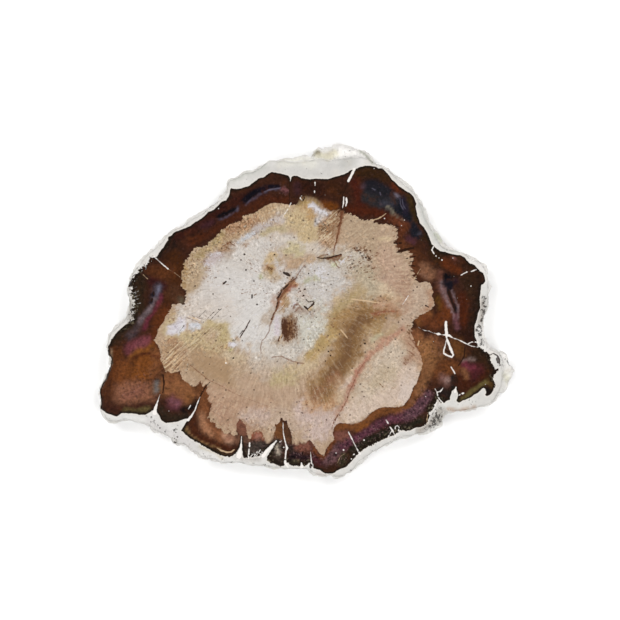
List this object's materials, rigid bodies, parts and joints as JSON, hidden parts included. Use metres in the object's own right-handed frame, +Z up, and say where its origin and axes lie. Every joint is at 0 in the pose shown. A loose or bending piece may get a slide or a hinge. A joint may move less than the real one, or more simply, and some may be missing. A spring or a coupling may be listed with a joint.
{
  "type": "petrified wood slice",
  "caption": "Flat cross-cut slice of petrified wood with a polished face, a brown agate band, pale heartwood and a rough chalky bark edge.",
  "frame": {"origin": "centre of the slice's outline, on the sawn base it rests on", "axes": "+X along the slice's longest side, +Y across it towards the wide lobe of crust, +Z up out of the polished face"},
  "size_m": [0.2488, 0.2006, 0.02],
  "materials": {
    "petrified_wood": "polished"
  },
  "bodies": {
    "root": {"petrified_wood_slice": "petrified_wood"}
  },
  "joints": []
}
